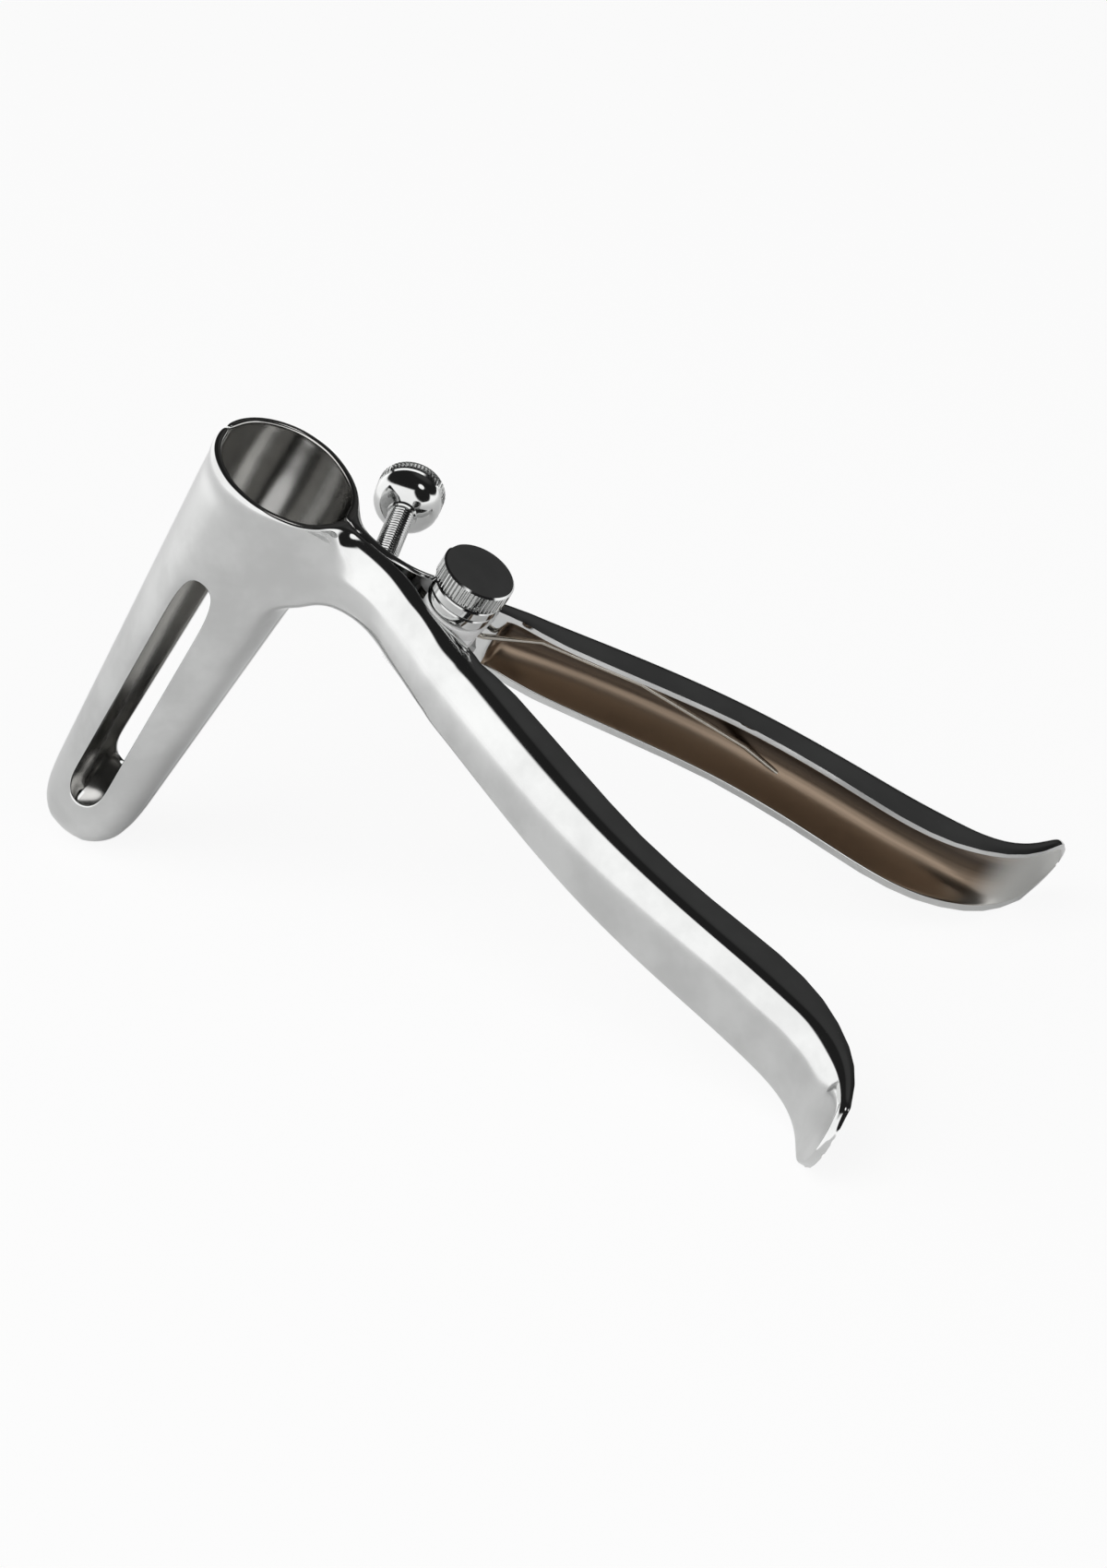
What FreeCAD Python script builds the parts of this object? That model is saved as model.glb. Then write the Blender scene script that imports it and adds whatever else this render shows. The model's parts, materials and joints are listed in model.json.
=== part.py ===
import FreeCAD, Part
import math
import os
import Sketcher

# Two-blade anal speculum, closed, standing on the blade tip and the two handle tips.
# Every piece is drawn in the instrument's own axes: Z along the pivot and the tube, the mouth of
# the tube at Z = 0 with the blades below it, the pivot at X = Y = 0, the handles towards +X.
# The far lever lies on the +Y side of the seam and the near lever on the -Y side.

FAR = 1
NEAR = -1

# Driving dimensions, millimetres and degrees
DIMENSIONS = {
    # Tube formed by the two blades
    "mouthRadius": 15.2,
    "tubeWall": 1.3,
    "lipRadius": 0.6,
    "taperAngle": 3.3,
    "bladeLength": 100.5,
    "tipWall": 2.2,
    "tipFlat": 0.5,
    "seamGap": 0.1,
    "windowWidth": 8.0,
    "windowTop": 23.0,
    "windowBottom": 87.5,
    # Levers from the tube to the handle tips
    "pivotOffset": 40.7,
    "armThickness": 4.7,
    "armHeight": 14.4,
    "armDrop": 0.7,
    "rootHeight": 16.0,
    "handleLength": 116.4,
    "handleSpread": 58.5,
    "handleDepth": 9.2,
    "handleWall": 1.5,
    "tongueHeight": 17.0,
    "handleRise": 6.1,
    "cornerRadius": 2.8,
    # Hinge lugs
    "lugRadius": 6.1,
    "lugHeight": 2.3,
    "lugClearance": 0.3,
    "lugPlay": 0.05,
    # Pivot thumb screw
    "pinRadius": 2.5,
    "pinPlay": 0.05,
    "pinEnd": 0.4,
    "collarRadius": 5.4,
    "collarHeight": 3.6,
    "neckHeight": 0.4,
    "undercutHeight": 2.6,
    "pivotHeadRadius": 7.2,
    "pivotHeadHeight": 3.4,
    "headChamfer": 0.35,
    # Set screw
    "screwRadius": 2.5,
    "screwAngle": 16.0,
    "screwReach": 16.2,
    "screwDepth": 6.0,
    "screwLength": 25.6,
    "screwTipGap": 0.2,
    "screwTipLength": 1.9,
    "setHeadRadius": 6.6,
    "setHeadRim": 2.2,
    "setHeadDome": 2.6,
    "setHeadCrown": 0.9,
    "spigotRadius": 1.8,
    "spigotLength": 3.2,
    # Return spring
    "wireRadius": 0.55,
    "coilRadius": 3.7,
    "coilPitch": 1.25,
    "coilTurns": 2.5,
    "legClearance": 0.25,
    "legLead": 1.0,
    "legRise": 3.0,
    "legBend": 3.5,
    "legBendRadius": 2.5,
}

# Stations of a lever's inner edge: distance from the pivot along X and out from the seam, both as
# shares of the handle's length and spread, heading in degrees, and depth as a share of the handle's
HANDLE_STATIONS = [
    (0.082, 0.154, 12.0, 0.82),
    (0.172, 0.191, 17.0, 0.97),
    (0.326, 0.308, 22.0, 1.00),
    (0.472, 0.410, 15.0, 1.00),
    (0.619, 0.465, 7.0, 1.05),
    (0.756, 0.494, 10.0, 1.12),
    (0.851, 0.552, 27.0, 1.03),
    (0.928, 0.670, 47.0, 0.65),
    (0.971, 0.809, 64.0, 0.35),
    (1.000, 1.000, 78.0, 0.175),
]

DOME = "((mouthRadius * cos(taperAngle) - bladeLength * sin(taperAngle)) / (1 - sin(taperAngle)))"
BORE = "(mouthRadius - tubeWall)"
BORE_END = "(bladeLength - tipWall)"
BORE_DOME = "((" + BORE + " * cos(taperAngle) - " + BORE_END + " * sin(taperAngle)) / (1 - sin(taperAngle)))"
HUB_BOTTOM = "(armDrop + armHeight)"
COLLAR_BASE = "(0 - armDrop + lugPlay)"
HEAD_BASE = "(" + COLLAR_BASE + " + collarHeight + neckHeight + undercutHeight)"
HEAD_SEAT = "(screwLength - setHeadDome)"

doc = FreeCAD.newDocument("speculum")

sheet = doc.addObject("Spreadsheet::Sheet", "dims")
for row, (alias, value) in enumerate(DIMENSIONS.items(), start=1):
    sheet.set("A%d" % row, alias)
    sheet.set("B%d" % row, str(value))
    sheet.setAlias("B%d" % row, alias)
doc.recompute()


def size(formula):
    """Value of a formula written with the sheet's names."""
    value = sheet.evalExpression(formula)
    return float(getattr(value, "Value", value))


def linked(formula):
    """The same formula, with each name read from the sheet."""
    result = ""
    word = ""
    for letter in formula + " ":
        if letter.isalnum():
            word += letter
            continue
        result += "dims." + word if word in DIMENSIONS else word
        result += letter
        word = ""
    return result.strip()


def bind(item, path, formula):
    item.setExpression(path, linked(formula))


def newBody(label):
    body = doc.addObject("PartDesign::Body", label)
    body.Label = label
    return body


def newSketch(body, name, role, base=("0", "0", "0"), turn="0", axis=(0, 1, 0)):
    """Sketch on one of the body's origin planes, moved and turned by formulas."""
    plane = [feature for feature in body.Origin.OriginFeatures if feature.Role == role][0]
    sketch = body.newObject("Sketcher::SketchObject", name)
    sketch.AttachmentSupport = [(plane, "")]
    sketch.MapMode = "FlatFace"
    sketch.AttachmentOffset = FreeCAD.Placement(
        FreeCAD.Vector(*[size(formula) for formula in base]),
        FreeCAD.Rotation(FreeCAD.Vector(*axis), size(turn)))
    for letter, formula in zip("xyz", base):
        bind(sketch, ".AttachmentOffset.Base." + letter, formula)
    if turn != "0":
        bind(sketch, ".AttachmentOffset.Rotation.Angle", turn)
    return sketch


def turned(vector, angle):
    return FreeCAD.Rotation(FreeCAD.Vector(0, 0, 1), math.degrees(angle)).multVec(vector)


def drawOutline(sketch, corners, bends=()):
    """Closed outline through corners given as formulas. The edge that leaves a corner listed in
    bends is an arc that starts along the edge before it. All other edges are straight."""
    points = [FreeCAD.Vector(size(x), size(y), 0) for x, y in corners]
    count = len(points)
    heading = FreeCAD.Vector(1, 0, 0)
    ends = []
    for index, start in enumerate(points):
        chord = points[(index + 1) % count] - start
        if index not in bends:
            sketch.addGeometry(Part.LineSegment(start, start + chord))
            heading = FreeCAD.Vector(chord).normalize()
            ends.append((1, 2))
            continue
        swing = math.atan2(heading.x * chord.y - heading.y * chord.x, heading.dot(chord))
        middle = start + turned(heading, swing / 2) * (chord.Length / (2 * math.cos(swing / 2)))
        sketch.addGeometry(Part.Arc(start, middle, start + chord))
        heading = turned(heading, 2 * swing)
        ends.append((1, 2) if swing > 0 else (2, 1))
    for index in range(count):
        following = (index + 1) % count
        join = "Tangent" if following in bends else "Coincident"
        sketch.addConstraint(Sketcher.Constraint(
            join, index, ends[index][1], following, ends[following][0]))
    for index, (x, y) in enumerate(corners):
        for kind, formula in (("DistanceX", x), ("DistanceY", y)):
            number = sketch.addConstraint(Sketcher.Constraint(
                kind, -1, 1, index, ends[index][0], size(formula)))
            bind(sketch, "Constraints[%d]" % number, formula)


def drawCircle(sketch, radius):
    sketch.addGeometry(Part.Circle(FreeCAD.Vector(0, 0, 0), FreeCAD.Vector(0, 0, 1), size(radius)))
    sketch.addConstraint(Sketcher.Constraint("Coincident", 0, 3, -1, 1))
    number = sketch.addConstraint(Sketcher.Constraint("Radius", 0, size(radius)))
    bind(sketch, "Constraints[%d]" % number, radius)


def revolve(body, sketch, kind="Revolution", angle=360.0, backwards=False):
    feature = body.newObject("PartDesign::" + kind, sketch.Name + kind)
    feature.Profile = sketch
    feature.ReferenceAxis = (sketch, ["V_Axis"])
    feature.Angle = angle
    feature.Reversed = backwards
    doc.recompute()
    return feature


def loft(body, name, sketches, kind="AdditiveLoft"):
    feature = body.newObject("PartDesign::" + kind, name)
    feature.Profile = sketches[0]
    feature.Sections = sketches[1:]
    doc.recompute()
    return feature


def pad(body, sketch, height):
    feature = body.newObject("PartDesign::Pad", sketch.Name + "Pad")
    feature.Profile = sketch
    feature.Length = size(height)
    bind(feature, "Length", height)
    doc.recompute()
    return feature


def cutThrough(body, sketch):
    """Cut the sketch's outline both ways, right through the body."""
    feature = body.newObject("PartDesign::Pocket", sketch.Name + "Pocket")
    feature.Profile = sketch
    feature.Type = 1
    feature.Midplane = True
    doc.recompute()
    return feature


def bladeOutline(side, radius, end, dome, name, body):
    sketch = newSketch(body, name, "XZ_Plane", ("-pivotOffset", "0", "%d * seamGap / 2" % -side))
    drawOutline(sketch, [
        ("0", "0"),
        (radius + " - lipRadius", "0"),
        (radius, "-lipRadius"),
        (dome + " * cos(taperAngle)", "-(" + end + " - " + dome + " + " + dome + " * sin(taperAngle))"),
        ("tipFlat", "-" + end),
        ("0", "-" + end),
    ], bends=(1, 3))
    return sketch


def boreOutline(body):
    """Inside of the tube, from the closed tip up to the rounded lip and out of the mouth."""
    sketch = newSketch(body, "bore", "XZ_Plane", ("-pivotOffset", "0", "0"))
    drawOutline(sketch, [
        ("0", "-" + BORE_END),
        ("tipFlat", "-" + BORE_END),
        (BORE_DOME + " * cos(taperAngle)",
         "-(" + BORE_END + " - " + BORE_DOME + " + " + BORE_DOME + " * sin(taperAngle))"),
        (BORE, "-lipRadius"),
        (BORE + " + lipRadius", "0"),
        (BORE + " + lipRadius", "lipRadius"),
        ("0", "lipRadius"),
    ], bends=(1, 3))
    return sketch


def leverStations():
    """Places along a lever as formulas: X, Y, heading, depth, middle height and full height."""
    hubMiddle = "(0 - armDrop - armHeight / 2)"
    stations = [
        ("(mouthRadius - tubeWall - pivotOffset - 1.2)", "seamGap / 2", "0", "armThickness",
         "(0 - rootHeight / 2)", "rootHeight", 0.7),
        ("(mouthRadius - pivotOffset + 7)", "seamGap / 2", "0", "armThickness",
         "((hubMiddle - rootHeight / 2) / 2)".replace("hubMiddle", hubMiddle),
         "((rootHeight + armHeight) / 2)", 0.7),
        ("-lugRadius * 1.31", "lugRadius * 0.38", "15", "armThickness", hubMiddle, "armHeight", 0.7),
        ("0", "lugRadius * 0.885", "24", "armThickness * 1.1", hubMiddle, "armHeight", 0.75),
    ]
    for along, out, heading, deep in HANDLE_STATIONS:
        stations.append((
            "handleLength * %g" % along,
            "handleSpread * %g" % out,
            "%g" % heading,
            "handleDepth * %g" % deep,
            "(%s + handleRise * %g)" % (hubMiddle, along),
            "(armHeight + (tongueHeight - armHeight) * %g)" % along,
            min(1.0, deep * 1.2)))
    return stations


def section(body, side, name, station, inset="0", overhang="0"):
    """Cross-section of a lever at a station: flat on the inner side, rounded on the outer one."""
    x, y, heading, depth, middle, height, roundness = station
    sketch = newSketch(body, name, "YZ_Plane", ("%d * %s" % (side, y), middle, x), "%d * %s" % (side, heading))
    outer = "%d * (%s - %s)" % (side, depth, inset)
    corner = "(cornerRadius * %g)" % (roundness if inset == "0" else roundness / 2)
    shoulder = "%d * (%s - %s - %s)" % (side, depth, inset, corner)
    inner = "%d * %s" % (-side, overhang)
    half = "(%s / 2 - %s)" % (height, inset)
    drawOutline(sketch, [
        (inner, half),
        (shoulder, half),
        (outer, half + " - " + corner),
        (outer, "-" + half + " + " + corner),
        (shoulder, "-" + half),
        (inner, "-" + half),
    ], bends=(1, 3))
    return sketch


def seamCut(body, side):
    """Trims the arm's inner face back to the seam, short of the hub."""
    sketch = newSketch(body, "seam", "XY_Plane")
    edge = "%d * seamGap / 2" % side
    beyond = "%d * -armThickness" % side
    drawOutline(sketch, [
        ("-pivotOffset", edge),
        ("-lugRadius", edge),
        ("-lugRadius", beyond),
        ("-pivotOffset", beyond),
    ])
    return cutThrough(body, sketch)


def tongueCut(body, side):
    """Rounds the end of the handle's tongue, seen square to its surface."""
    along, out, heading, deep = HANDLE_STATIONS[-1]
    middle = "(handleRise - armDrop - armHeight / 2)"
    sketch = newSketch(
        body, "tongueEnd", "XZ_Plane",
        ("handleLength", middle, "%d * handleSpread" % -side), "%d * %g" % (side, heading))
    radius = "tongueHeight / 2"
    drawOutline(sketch, [
        ("-" + radius + " - 2", "-" + radius),
        ("-" + radius, "-" + radius),
        ("-" + radius, radius),
        ("-" + radius + " - 2", radius),
        ("-" + radius + " - 2", "tongueHeight"),
        ("tongueHeight / 4", "tongueHeight"),
        ("tongueHeight / 4", "-tongueHeight"),
        ("-" + radius + " - 2", "-tongueHeight"),
    ], bends=(1,))
    return cutThrough(body, sketch)


def windowCut(body):
    """Long slot through the blade, with half-round ends."""
    sketch = newSketch(body, "window", "XZ_Plane", ("-pivotOffset", "0", "0"))
    half = "windowWidth / 2"
    drawOutline(sketch, [
        (half, "-windowTop - " + half),
        ("-" + half, "-windowTop - " + half),
        ("-" + half, "-windowBottom + " + half),
        (half, "-windowBottom + " + half),
    ])
    cutThrough(body, sketch)
    for name, middle in (("windowUpperEnd", "-windowTop - " + half), ("windowLowerEnd", "-windowBottom + " + half)):
        end = newSketch(body, name, "XZ_Plane", ("-pivotOffset", middle, "0"))
        drawCircle(end, half)
        cutThrough(body, end)


def lug(body, side, name, base):
    """Round hinge lug about the pivot, with a neck that runs into the arm."""
    sketch = newSketch(body, name, "XY_Plane", ("0", "0", base))
    drawOutline(sketch, [
        ("-lugRadius", "%d * lugRadius" % side),
        ("-lugRadius", "0"),
        ("lugRadius", "0"),
        ("lugRadius", "%d * (lugRadius + armThickness)" % side),
    ], bends=(1,))
    return pad(body, sketch, "lugHeight")


def roundHole(body, name, role, base, radius, turn="0"):
    sketch = newSketch(body, name, role, base, turn)
    drawCircle(sketch, radius)
    return cutThrough(body, sketch)


def makeLever(label, side, lugBases):
    body = newBody(label)
    stations = leverStations()
    solid = [section(body, side, "lever%d" % number, station) for number, station in enumerate(stations)]
    loft(body, "leverShape", solid)
    seamCut(body, side)
    troughFrom = len(stations) - len(HANDLE_STATIONS)
    hollow = [
        section(body, side, "trough%d" % number, station, "handleWall", "1")
        for number, station in enumerate(stations[troughFrom:])]
    loft(body, "trough", hollow, "SubtractiveLoft")
    tongueCut(body, side)
    blade = bladeOutline(side, "mouthRadius", "bladeLength", DOME, "blade", body)
    revolve(body, blade, angle=180.0, backwards=side == NEAR)
    bore = boreOutline(body)
    revolve(body, bore, "Groove")
    windowCut(body)
    roundHole(body, "hubRelief", "XY_Plane", ("0", "0", "0"), "lugRadius + lugClearance")
    for number, base in enumerate(lugBases):
        lug(body, side, "lug%d" % number, base)
    roundHole(body, "pivotHole", "XY_Plane", ("0", "0", "0"), "pinRadius + pinPlay")
    return body


farLever = makeLever("far_lever", FAR, [
    "-armDrop - lugHeight",
    "-" + HUB_BOTTOM + " + lugHeight + lugPlay",
])
roundHole(farLever, "setScrewHole", "XZ_Plane",
          ("-screwReach", "-screwDepth", "-seamGap / 2"), "screwRadius + pinPlay", "screwAngle")
nearLever = makeLever("near_lever", NEAR, [
    "-armDrop - 2 * lugHeight - lugPlay",
    "-" + HUB_BOTTOM,
])


def makePivotScrew():
    body = newBody("pivot_screw")
    sketch = newSketch(body, "pivotScrew", "XZ_Plane")
    neck = COLLAR_BASE + " + collarHeight + neckHeight"
    drawOutline(sketch, [
        ("0", "-" + HUB_BOTTOM + " - pinEnd"),
        ("pinRadius - headChamfer", "-" + HUB_BOTTOM + " - pinEnd"),
        ("pinRadius", "-" + HUB_BOTTOM + " - pinEnd + headChamfer"),
        ("pinRadius", COLLAR_BASE),
        ("collarRadius", COLLAR_BASE),
        ("collarRadius", COLLAR_BASE + " + collarHeight"),
        ("collarRadius - neckHeight", neck),
        ("collarRadius", neck),
        ("pivotHeadRadius - headChamfer", HEAD_BASE),
        ("pivotHeadRadius", HEAD_BASE),
        ("pivotHeadRadius", HEAD_BASE + " + pivotHeadHeight - headChamfer"),
        ("pivotHeadRadius - headChamfer", HEAD_BASE + " + pivotHeadHeight"),
        ("0", HEAD_BASE + " + pivotHeadHeight"),
    ], bends=(7,))
    revolve(body, sketch)
    return body


def screwAxisSketch(body, name):
    """Sketch whose upright axis is the set screw's, with its zero where the screw leaves the seam."""
    return newSketch(body, name, "XY_Plane", ("-screwReach", "seamGap / 2", "-screwDepth"),
                     "screwAngle", (0, 0, 1))


def makeSetScrewRod():
    body = newBody("set_screw_rod")
    sketch = screwAxisSketch(body, "rod")
    drawOutline(sketch, [
        ("0", "screwTipGap"),
        ("headChamfer", "screwTipGap"),
        ("screwRadius", "screwTipGap + screwTipLength"),
        ("screwRadius", HEAD_SEAT + " - lugPlay"),
        ("spigotRadius", HEAD_SEAT + " - lugPlay"),
        ("spigotRadius", HEAD_SEAT + " + spigotLength"),
        ("0", HEAD_SEAT + " + spigotLength"),
    ], bends=(1,))
    revolve(body, sketch)
    return body


def makeSetScrewHead():
    body = newBody("set_screw_head")
    sketch = screwAxisSketch(body, "knob")
    drawOutline(sketch, [
        ("spigotRadius + pinPlay", HEAD_SEAT),
        ("screwRadius + headChamfer", HEAD_SEAT),
        ("setHeadRadius - headChamfer", "screwLength"),
        ("setHeadRadius", "screwLength + headChamfer"),
        ("setHeadRadius", "screwLength + setHeadRim - headChamfer"),
        ("setHeadRadius - headChamfer", "screwLength + setHeadRim"),
        ("setHeadRadius * 0.72", "screwLength + setHeadRim + setHeadCrown * 0.85"),
        ("0", "screwLength + setHeadRim + setHeadCrown"),
        ("0", HEAD_SEAT + " + spigotLength + lugPlay"),
        ("spigotRadius + pinPlay", HEAD_SEAT + " + spigotLength + lugPlay"),
    ], bends=(1,))
    revolve(body, sketch)
    return body


pivotScrew = makePivotScrew()
setScrewRod = makeSetScrewRod()
setScrewHead = makeSetScrewHead()


def webPoint(side, share, height):
    """Point beside the web of a trough, a little clear of it, at a share of the handle's length."""
    stations = HANDLE_STATIONS
    after = [index for index, station in enumerate(stations) if station[0] >= share][0]
    low = stations[after - 1]
    high = stations[after]
    mix = (share - low[0]) / (high[0] - low[0])
    out, heading, deep = [low[item] + (high[item] - low[item]) * mix for item in (1, 2, 3)]
    depth = size("handleDepth") * deep - size("handleWall + wireRadius + legClearance")
    lean = math.radians(heading)
    return FreeCAD.Vector(
        size("handleLength") * share - depth * math.sin(lean),
        side * (size("handleSpread") * out + depth * math.cos(lean)),
        height)


def roundedRuns(points, radius):
    """Edges through points: straight runs joined by arcs of one radius."""
    edges = []
    start = points[0]
    for corner, beyond in zip(points[1:-1], points[2:]):
        before = (corner - start).normalize()
        after = (beyond - corner).normalize()
        turn = before.getAngle(after)
        reach = radius * math.tan(turn / 2)
        first = corner - before * reach
        last = corner + after * reach
        inward = (after - before).normalize()
        middle = corner + inward * (radius / math.cos(turn / 2) - radius)
        edges.append(Part.LineSegment(start, first).toShape())
        edges.append(Part.Arc(first, middle, last).toShape())
        start = last
    edges.append(Part.LineSegment(start, points[-1]).toShape())
    return edges


def springLeg(side, coilEnd, slope):
    """Points of a leg: off the coil, into the trough and along its web. The end of each leg is bent
    towards the other leg's level."""
    leaving = FreeCAD.Vector(1, 0, side * slope).normalize() * size("lugRadius + legLead")
    entry = coilEnd + leaving
    points = [coilEnd, entry]
    for share in (0.19, 0.31, 0.43, 0.50):
        points.append(webPoint(side, share, entry.z + size("legRise") * share))
    points.append(webPoint(side, 0.56, entry.z - side * size("legBend")))
    return points


def makeReturnSpring():
    """Wire coiled round the pivot between the lugs, with a leg that presses on each trough's web.
    The coil climbs left-handed, so that both legs leave it towards the handles."""
    radius = size("coilRadius")
    height = size("coilPitch * coilTurns")
    base = size("0 - armDrop - armHeight / 2") - height / 2
    slope = size("coilPitch") / (2 * math.pi * radius)
    coil = Part.makeHelix(size("coilPitch"), height, radius, 0, True)
    coil.rotate(FreeCAD.Vector(0, 0, 0), FreeCAD.Vector(0, 0, 1), -90)
    coil.translate(FreeCAD.Vector(0, 0, base))
    nearLeg = springLeg(NEAR, FreeCAD.Vector(0, -radius, base), slope)
    farLeg = springLeg(FAR, FreeCAD.Vector(0, radius, base + height), slope)
    bend = size("legBendRadius")
    path = Part.Wire(roundedRuns(nearLeg[::-1], bend) + coil.Edges + roundedRuns(farLeg, bend))
    start = nearLeg[-1]
    circle = Part.Circle(start, nearLeg[-2] - start, size("wireRadius"))
    wire = path.makePipeShell([Part.Wire(circle.toShape())], True, False)
    spring = doc.addObject("Part::Feature", "return_spring")
    spring.Label = "return_spring"
    spring.Shape = wire
    return spring


returnSpring = makeReturnSpring()


def lowestTongue(turn):
    """How far the handle tips reach below the pivot once the instrument is turned about Y."""
    along, out, heading, deep = HANDLE_STATIONS[-1]
    radius = size("tongueHeight / 2")
    middleX = size("handleLength") - radius * math.cos(math.radians(heading))
    middleZ = size("handleRise - armDrop - armHeight / 2")
    reach = math.hypot(math.sin(turn) * math.cos(math.radians(heading)), math.cos(turn))
    return middleX * math.sin(turn) - middleZ * math.cos(turn) + radius * reach


def lowestBlade(turn):
    """How far the blade tip reaches below the pivot once the instrument is turned about Y."""
    radius = size(DOME)
    return radius + size("bladeLength - " + DOME) * math.cos(turn) - size("pivotOffset") * math.sin(turn)


def standUp(pieces):
    """Places all the pieces together, resting on the tips of the blades and of both handles."""
    low = 0.0
    high = math.pi / 3
    while high - low > 1e-9:
        turn = (low + high) / 2
        if lowestTongue(turn) < lowestBlade(turn):
            low = turn
        else:
            high = turn
    rotation = FreeCAD.Rotation(FreeCAD.Vector(0, 1, 0), math.degrees(turn))
    standing = FreeCAD.Placement(FreeCAD.Vector(0, 0, 0), rotation)
    box = FreeCAD.BoundBox()
    for piece in pieces:
        piece.Placement = standing
        box.add(piece.Shape.optimalBoundingBox())
    centre = FreeCAD.Vector(-box.Center.x, -box.Center.y, -box.ZMin)
    for piece in pieces:
        piece.Placement = FreeCAD.Placement(centre, rotation)


pieces = [farLever, nearLever, pivotScrew, setScrewRod, setScrewHead, returnSpring]
standUp(pieces)
doc.recompute()

for item in doc.Objects:
    if "Invalid" in item.State or "Error" in item.State:
        raise RuntimeError(item.Name + " did not compute")

os.makedirs("parts", exist_ok=True)
for piece in pieces:
    if piece.Shape.isNull() or not piece.Shape.isValid():
        raise RuntimeError(piece.Label + " has no valid shape")
    piece.Shape.exportStep("parts/" + piece.Label + ".step")
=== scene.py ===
import json
import math
import bmesh
import bpy
from mathutils import Matrix, Vector


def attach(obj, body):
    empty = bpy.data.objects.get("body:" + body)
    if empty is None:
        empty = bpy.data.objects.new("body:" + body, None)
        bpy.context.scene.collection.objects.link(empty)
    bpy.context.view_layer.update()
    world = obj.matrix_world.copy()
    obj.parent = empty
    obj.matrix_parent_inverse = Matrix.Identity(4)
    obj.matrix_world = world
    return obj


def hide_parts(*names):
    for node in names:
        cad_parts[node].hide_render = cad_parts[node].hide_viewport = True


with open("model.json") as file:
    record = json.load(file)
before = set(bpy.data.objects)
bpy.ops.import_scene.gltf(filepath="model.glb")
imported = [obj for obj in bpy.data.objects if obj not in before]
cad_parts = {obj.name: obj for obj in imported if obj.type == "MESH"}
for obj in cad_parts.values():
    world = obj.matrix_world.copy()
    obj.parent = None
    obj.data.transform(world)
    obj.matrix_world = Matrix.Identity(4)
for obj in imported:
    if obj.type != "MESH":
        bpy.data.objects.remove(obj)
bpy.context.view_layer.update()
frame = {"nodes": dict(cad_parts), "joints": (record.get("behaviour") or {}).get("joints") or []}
print("frame loaded:", ", ".join(sorted(frame["nodes"])))

# Every piece is modelled in millimetres on the instrument's own axes: Z up the pivot and the tube,
# the mouth of the tube at Z = 0, the pivot at X = Y = 0, handles towards +X, far lever on +Y.
# The standing matrix then puts it where the CAD model stands.
mm = 0.001
openingJoint = {j["name"]: j for j in frame["joints"]}["blade_opening"]
pivotAxis = Vector(openingJoint["axis"]).normalized()
jointDepth = 8.0
standing = (
    Matrix.Translation(Vector(openingJoint["pos_m"]) + pivotAxis * jointDepth * mm)
    @ Matrix.Rotation(math.atan2(pivotAxis.x, pivotAxis.z), 4, "Y")
    @ Matrix.Scale(mm, 4)
)
far, near = 1, -1


def only(piece):
    if bpy.context.object and bpy.context.object.mode != "OBJECT":
        bpy.ops.object.mode_set(mode="OBJECT")
    bpy.ops.object.select_all(action="DESELECT")
    piece.select_set(True)
    bpy.context.view_layer.objects.active = piece


def edit(piece, selectMode="VERT"):
    only(piece)
    bpy.ops.object.mode_set(mode="EDIT")
    bpy.ops.mesh.select_mode(type=selectMode)
    return bmesh.from_edit_mesh(piece.data)


def closeEdit(piece):
    bmesh.update_edit_mesh(piece.data)
    bpy.ops.object.mode_set(mode="OBJECT")


def modify(piece, kind, **settings):
    modifier = piece.modifiers.new(kind.title(), kind)
    for name, value in settings.items():
        setattr(modifier, name, value)
    only(piece)
    bpy.ops.object.modifier_apply(modifier=modifier.name)


def cleanShell(piece, gap):
    edit(piece)
    bpy.ops.mesh.select_all(action="SELECT")
    bpy.ops.mesh.remove_doubles(threshold=gap)
    bpy.ops.mesh.normals_make_consistent(inside=False)
    closeEdit(piece)


def smooth(piece, angle):
    only(piece)
    bpy.ops.object.shade_smooth_by_angle(angle=math.radians(angle))


def joined(pieces):
    only(pieces[0])
    for piece in pieces:
        piece.select_set(True)
    bpy.ops.object.join()
    return bpy.context.object


def place(piece, name, body, materials, nodes=()):
    only(piece)
    piece.matrix_world = standing
    bpy.ops.object.transform_apply(location=True, rotation=True, scale=True)
    piece.name = name
    piece.data.name = name
    if len(piece.data.materials) == 0:
        for material in materials:
            piece.data.materials.append(material)
    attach(piece, body)
    for node in nodes:
        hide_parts(node)
    print("made", name, "with", len(piece.data.polygons), "faces")


class Shade:

    def __init__(self, tree, socket):
        self.tree = tree
        self.socket = socket

    def maths(self, operation, *values):
        node = self.tree.nodes.new("ShaderNodeMath")
        node.operation = operation
        for index, value in enumerate(values):
            if isinstance(value, Shade):
                self.tree.links.new(value.socket, node.inputs[index])
            else:
                node.inputs[index].default_value = value
        return Shade(self.tree, node.outputs[0])

    def __add__(self, other):
        return self.maths("ADD", self, other)

    def __radd__(self, other):
        return self.maths("ADD", other, self)

    def __sub__(self, other):
        return self.maths("SUBTRACT", self, other)

    def __rsub__(self, other):
        return self.maths("SUBTRACT", other, self)

    def __mul__(self, other):
        return self.maths("MULTIPLY", self, other)

    def __rmul__(self, other):
        return self.maths("MULTIPLY", other, self)

    def larger(self, other):
        return self.maths("MAXIMUM", self, other)

    def between(self, low, high):
        node = self.tree.nodes.new("ShaderNodeMapRange")
        node.interpolation_type = "SMOOTHSTEP"
        self.tree.links.new(self.socket, node.inputs["Value"])
        node.inputs["From Min"].default_value = low
        node.inputs["From Max"].default_value = high
        return Shade(self.tree, node.outputs["Result"])


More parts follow.
